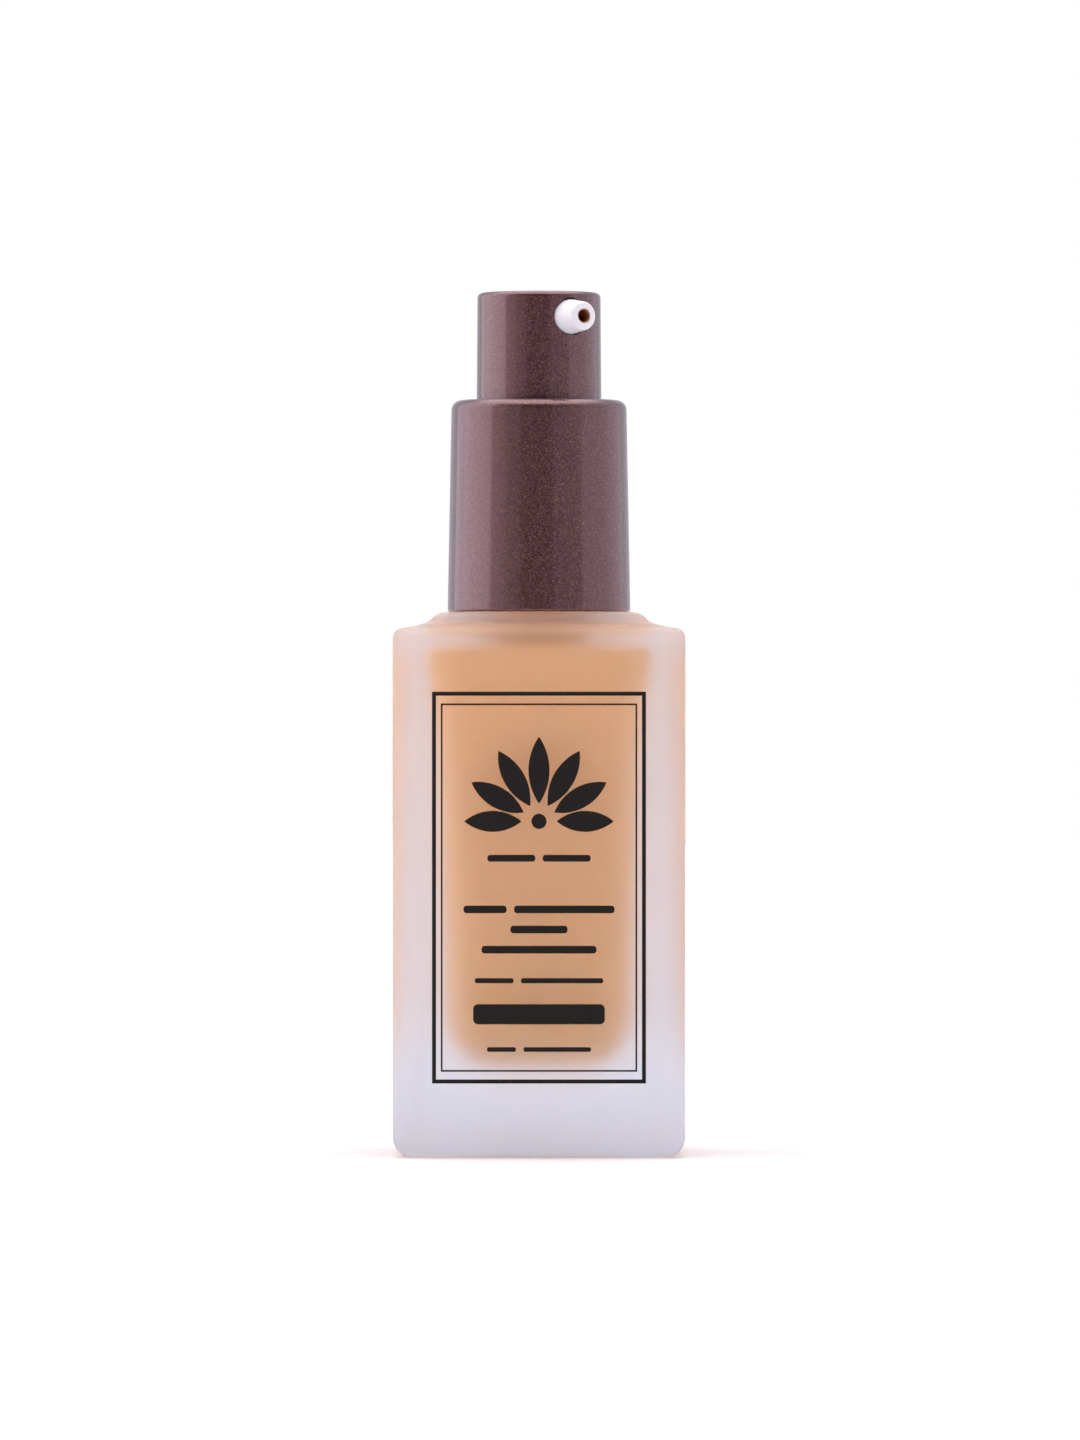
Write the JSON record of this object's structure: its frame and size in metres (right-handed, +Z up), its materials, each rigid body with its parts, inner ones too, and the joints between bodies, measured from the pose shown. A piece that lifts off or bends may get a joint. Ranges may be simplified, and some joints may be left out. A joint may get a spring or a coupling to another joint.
{
  "type": "foundation bottle",
  "caption": "Square frosted-glass foundation bottle with a screw-on treatment pump, metallic collar, pressing actuator and side nozzle.",
  "frame": {"origin": "centre of the base, on the surface that the bottle stands on", "axes": "+Z up along the pump's axis, -Y out of the printed front, +X to the right of the front"},
  "size_m": [0.035, 0.0351, 0.1039],
  "materials": {
    "frosted_glass": "frosted, slightly lavender",
    "foundation": "creamy tan liquid",
    "ink": "screen-printed ink",
    "gasket": "soft foamed polyethylene",
    "pump_plastic": "natural polypropylene",
    "clear_tube": "translucent tube",
    "spring_steel": "stainless wire",
    "ball_steel": "polished ball",
    "closure_plastic": "moulded, hidden by the collar",
    "metallic_burgundy": "pearl metallic lacquer with fine sparkle",
    "piston_plastic": "polyethylene",
    "white_plastic": "satin white"
  },
  "bodies": {
    "bottle": {"glass_bottle": "frosted_glass", "foundation_liquid": "foundation", "front_print": "ink"},
    "pump_body": {"neck_gasket": "gasket", "pump_housing": "pump_plastic", "stem_guide": "pump_plastic", "dip_tube": "clear_tube", "return_spring": "spring_steel"},
    "closure": {"screw_closure": "closure_plastic", "collar_sleeve": "metallic_burgundy"},
    "inlet_ball": {"inlet_ball": "ball_steel"},
    "plunger": {"stem": "pump_plastic", "valve_seat": "pump_plastic"},
    "piston": {"piston": "piston_plastic"},
    "head": {"actuator_cover": "metallic_burgundy", "actuator_core": "white_plastic", "nozzle": "white_plastic"}
  },
  "joints": [
    {"name": "closure_lift", "type": "slide", "parent": "bottle", "child": "pump_body", "axis": [0, 0, 1], "range_m": [0, 0.00476]},
    {"name": "closure_turn", "type": "hinge", "parent": "pump_body", "child": "closure", "pos_m": [0, 0, 0.074], "axis": [0, 0, 1], "range_deg": [0, 540]},
    {"name": "inlet_ball_lift", "type": "slide", "parent": "pump_body", "child": "inlet_ball", "axis": [0, 0, 1], "range_m": [0, 0.0009]},
    {"name": "head_press", "type": "slide", "parent": "pump_body", "child": "plunger", "axis": [0, 0, -1], "range_m": [0, 0.006], "stiffness_N_per_m": 900, "springref_m": -0.004, "deforming": ["return_spring"]},
    {"name": "piston_slip", "type": "slide", "parent": "plunger", "child": "piston", "axis": [0, 0, 1], "range_m": [0, 0.0008]},
    {"name": "head_swivel", "type": "hinge", "parent": "plunger", "child": "head", "pos_m": [0, 0, 0.095], "axis": [0, 0, 1], "continuous": true}
  ],
  "couplings": [
    {"joint": "closure_turn", "follows": "closure_lift", "rad_per_m": 1979}
  ]
}
